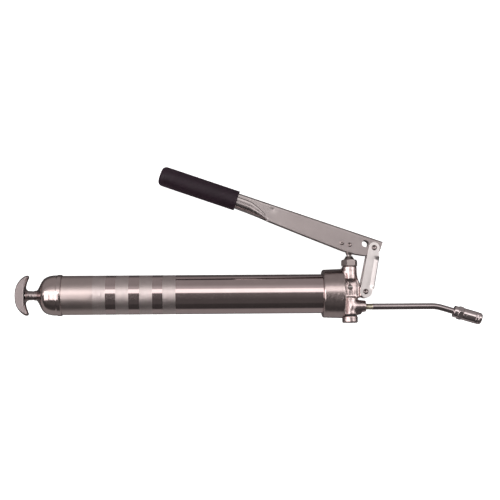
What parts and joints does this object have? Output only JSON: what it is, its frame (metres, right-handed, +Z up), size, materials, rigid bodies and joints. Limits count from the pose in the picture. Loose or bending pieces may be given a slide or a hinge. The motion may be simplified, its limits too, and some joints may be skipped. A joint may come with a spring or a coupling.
{
  "type": "lever grease gun",
  "caption": "Hand grease gun: long polished barrel with T-handle and follower, cast pump head, pivoting lever with vinyl grip, bent steel pipe and spring-jaw coupler.",
  "frame": {"origin": "centre of the bounding box in X and Y, on the bench that the gun lies on", "axes": "+X along the barrel towards the coupler (level to within a degree), +Y towards the lever, +Z up. The gun lies on its side, leaning 6 degrees on the head ring, the end cap bead and the grip."},
  "size_m": [0.647, 0.2214, 0.0684],
  "materials": {
    "polished_barrel": "steel tube, polished and bright plated, with brushed grip bands",
    "cap_plate": "spun steel, bright plated",
    "cast_plate": "sand casting, nickel plated over an uneven skin",
    "handle_plate": "die casting, satin plated",
    "zinc_sheet": "pressed sheet steel, satin zinc plate",
    "grip_vinyl": "dipped vinyl, black, fine diamond texture",
    "bright_steel": "turned steel, satin",
    "pipe_steel": "drawn steel tube, bright plated",
    "coupler_plate": "turned steel, nickel plated",
    "spring_steel": "spring wire",
    "seal_rubber": "nitrile rubber, matt"
  },
  "bodies": {
    "gun_body": {"barrel_tube": "polished_barrel", "end_cap": "cap_plate", "cap_bushing": "bright_steel", "pump_head": "cast_plate", "barrel_gasket": "seal_rubber", "packing_washer": "bright_steel", "plunger_packing": "seal_rubber", "packing_nut": "coupler_plate", "check_spring": "spring_steel", "cylinder_plug": "cast_plate", "plug_gasket": "seal_rubber", "bleed_screw": "bright_steel", "link_lower_pin": "bright_steel", "lower_pin_clip": "spring_steel", "extension_pipe": "pipe_steel", "coupler_adapter": "coupler_plate", "coupler_body": "coupler_plate", "coupler_sleeve": "coupler_plate", "coupler_spring": "spring_steel", "follower_spring": "spring_steel"},
    "follower": {"follower_cup": "seal_rubber", "follower_rear_plate": "bright_steel", "follower_front_plate": "bright_steel"},
    "rod": {"follower_rod": "bright_steel", "t_handle": "handle_plate", "rod_collar": "bright_steel", "rod_nut": "bright_steel"},
    "link": {"fulcrum_link": "zinc_sheet", "link_upper_pin": "bright_steel", "upper_pin_clip": "spring_steel"},
    "lever": {"lever": "zinc_sheet", "lever_grip": "grip_vinyl", "plunger_pin": "bright_steel", "plunger_pin_clip": "spring_steel", "lever_rivet": "bright_steel"},
    "plunger": {"plunger": "bright_steel"},
    "check_ball": {"check_ball": "bright_steel"},
    "jaws": {"coupler_jaws": "bright_steel", "coupler_seal": "seal_rubber"},
    "coupler_ball": {"coupler_ball": "bright_steel"}
  },
  "joints": [
    {"name": "follower_slide", "type": "slide", "parent": "gun_body", "child": "follower", "axis": [0.9999, 0, 0.0146], "range_m": [-0.32, 0], "stiffness_N_per_m": 120, "deforming": ["follower_spring"]},
    {"name": "handle_turn", "type": "hinge", "parent": "follower", "child": "rod", "pos_m": [-0.30164, -0.06637, 0.02793], "axis": [0.9999, 0, 0.0146], "continuous": true},
    {"name": "link_swing", "type": "hinge", "parent": "gun_body", "child": "link", "pos_m": [0.15932, -0.06418, 0.03444], "axis": [-0.0145, 0.1018, 0.9947], "range_deg": [-0.5, 7.5]},
    {"name": "lever_swing", "type": "hinge", "parent": "link", "child": "lever", "pos_m": [0.17231, -0.0039, 0.02846], "axis": [-0.0145, 0.1018, 0.9947], "range_deg": [-38, 0]},
    {"name": "plunger_slide", "type": "slide", "parent": "gun_body", "child": "plunger", "axis": [0.0015, 0.9948, -0.1018], "range_m": [-0.0005, 0.02]},
    {"name": "check_ball_lift", "type": "slide", "parent": "gun_body", "child": "check_ball", "axis": [-0.0015, -0.9948, 0.1018], "range_m": [0, 0.0015], "stiffness_N_per_m": 200, "deforming": ["check_spring"]},
    {"name": "jaws_slide", "type": "slide", "parent": "gun_body", "child": "jaws", "axis": [0.9573, -0.2859, 0.0432], "range_m": [-0.0015, 0], "stiffness_N_per_m": 1500, "deforming": ["coupler_spring"]},
    {"name": "coupler_ball_lift", "type": "slide", "parent": "gun_body", "child": "coupler_ball", "axis": [0.9573, -0.2859, 0.0432], "range_m": [0, 0.0012], "stiffness_N_per_m": 60}
  ],
  "couplings": [
    {"joint": "link_swing", "follows": "lever_swing", "ratio": -0.18},
    {"joint": "plunger_slide", "follows": "lever_swing", "m_per_rad": -0.027158}
  ]
}
